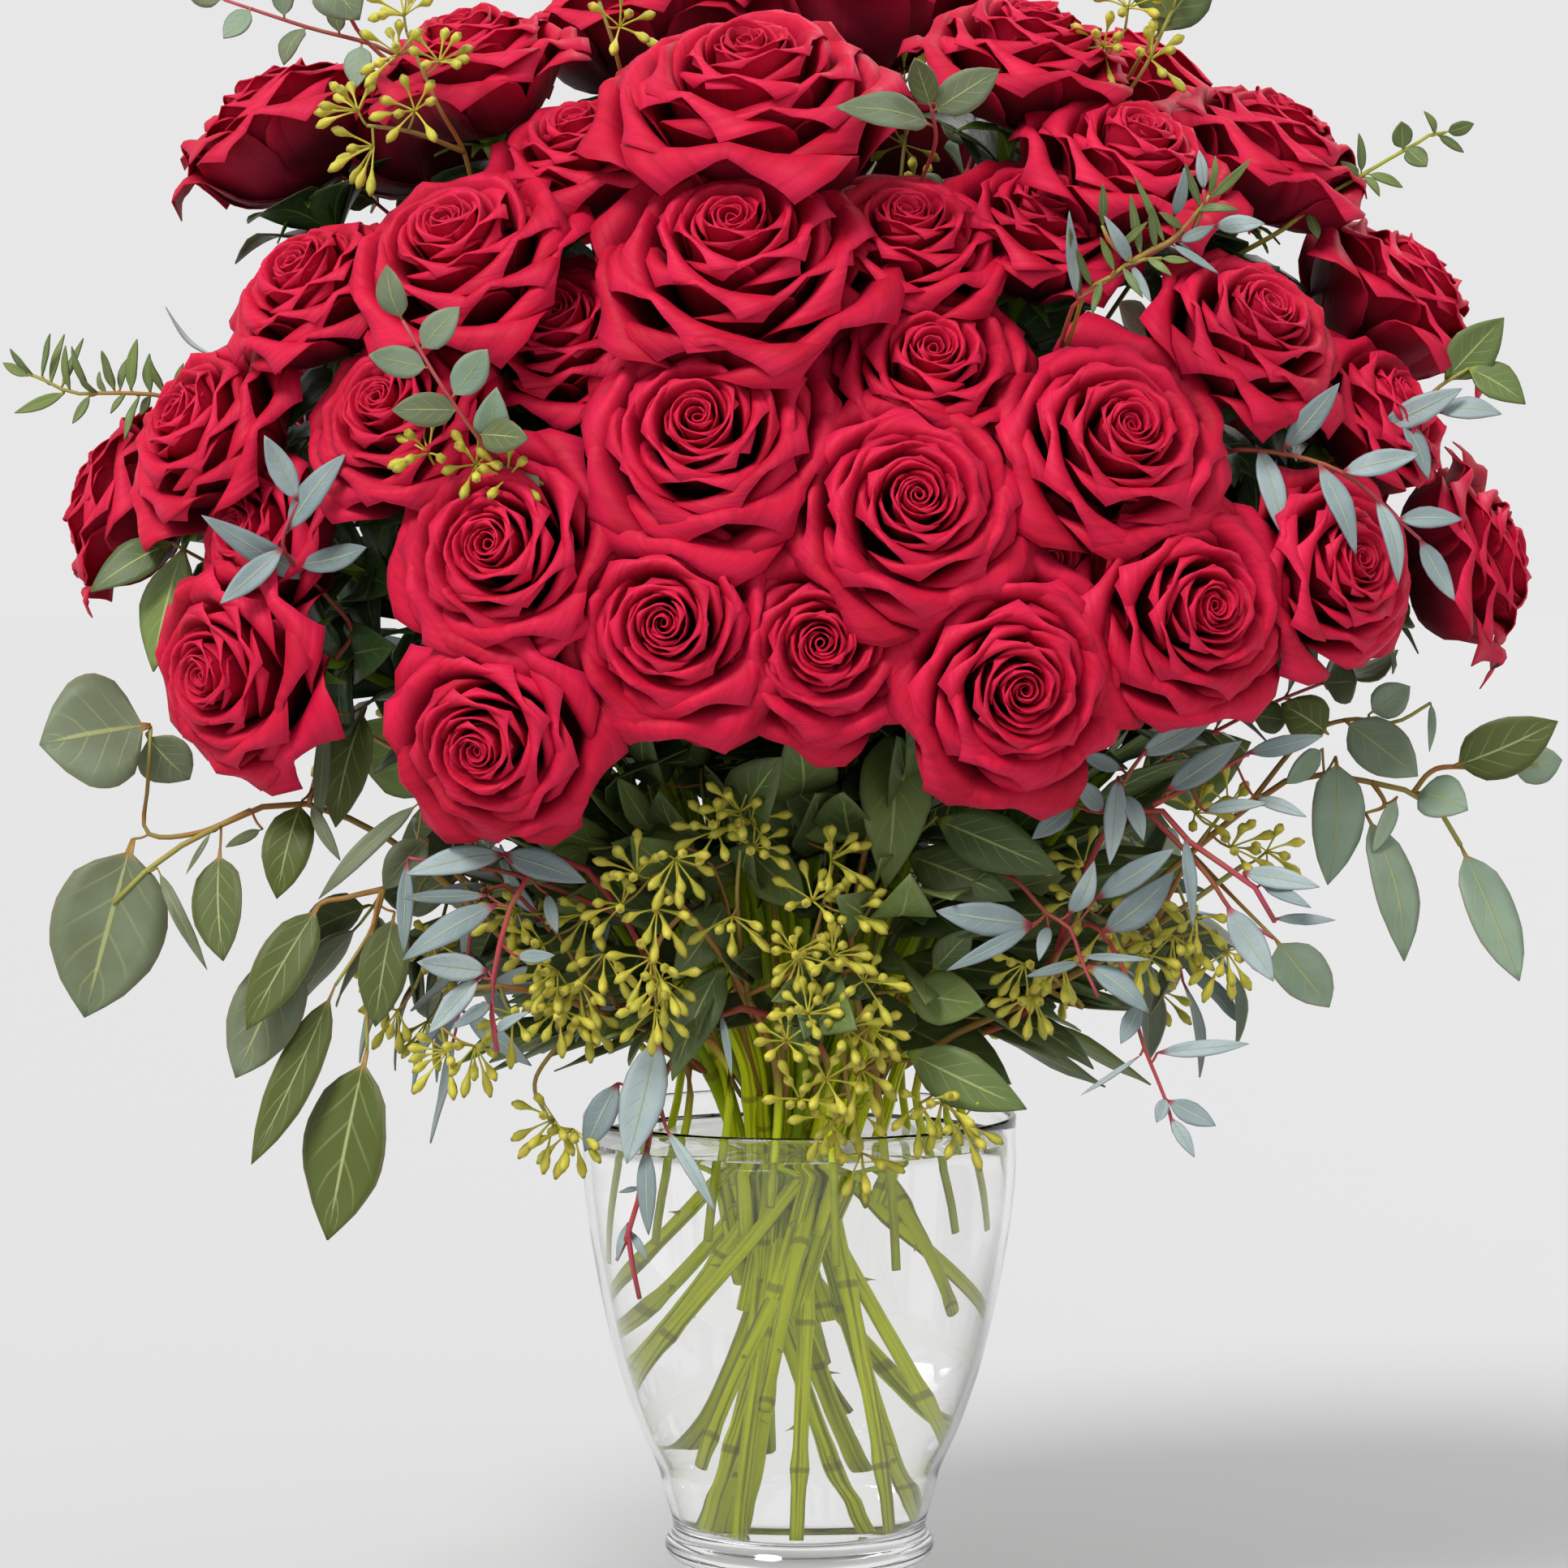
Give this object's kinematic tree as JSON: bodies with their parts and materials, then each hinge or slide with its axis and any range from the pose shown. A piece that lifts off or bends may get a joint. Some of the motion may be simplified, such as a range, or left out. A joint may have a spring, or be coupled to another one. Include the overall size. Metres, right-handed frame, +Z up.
{
  "type": "roses in a vase",
  "caption": "Wide domed bouquet of open red roses with seeded, round-leaved and willow eucalyptus, standing in a clear glass vase of water.",
  "frame": {"origin": "centre of the flat underside of the vase's foot", "axes": "+Z up along the vase's axis, the front of the bouquet faces -Y, +X to the right as seen from the front"},
  "size_m": [0.5722, 0.3261, 0.6401],
  "materials": {
    "glass": "clear polished glass",
    "water": "clear still water",
    "petal": "velvety crimson rose petal",
    "stem": "smooth yellow-green stem",
    "silver_leaf": "matt grey-green leaf",
    "olive_leaf": "satin olive-green leaf",
    "willow_leaf": "matt blue-grey leaf",
    "seed": "satin yellow-green seed",
    "twig": "thin reddish twig"
  },
  "bodies": {
    "root": {"vase": "glass", "water": "water", "rose_stems": "stem", "rose_01": "petal", "rose_02": "petal", "rose_03": "petal", "rose_04": "petal", "rose_05": "petal", "rose_06": "petal", "rose_07": "petal", "rose_08": "petal", "rose_09": "petal", "rose_10": "petal", "rose_11": "petal", "rose_12": "petal", "rose_13": "petal", "rose_14": "petal", "rose_15": "petal", "rose_16": "petal", "rose_17": "petal", "rose_18": "petal", "rose_19": "petal", "rose_20": "petal", "rose_21": "petal", "rose_22": "petal", "rose_23": "petal", "rose_24": "petal", "rose_25": "petal", "rose_26": "petal", "rose_27": "petal", "rose_28": "petal", "rose_29": "petal", "rose_30": "petal", "rose_31": "petal", "rose_32": "petal", "rose_33": "petal", "rose_34": "petal", "rose_35": "petal", "rose_36": "petal", "rose_37": "petal", "rose_38": "petal", "rose_39": "petal", "rose_40": "petal", "rose_41": "petal", "rose_42": "petal", "rose_43": "petal", "rose_44": "petal", "rose_45": "petal", "rose_46": "petal", "dollar_left": "silver_leaf", "dollar_right": "silver_leaf", "leafy_centre": "olive_leaf", "seeded_centre": "seed", "seeded_left": "seed", "seeded_right": "seed", "willow_left": "willow_leaf", "willow_front": "willow_leaf", "willow_right": "willow_leaf", "back_left": "olive_leaf", "back_right": "olive_leaf"}
  },
  "joints": []
}
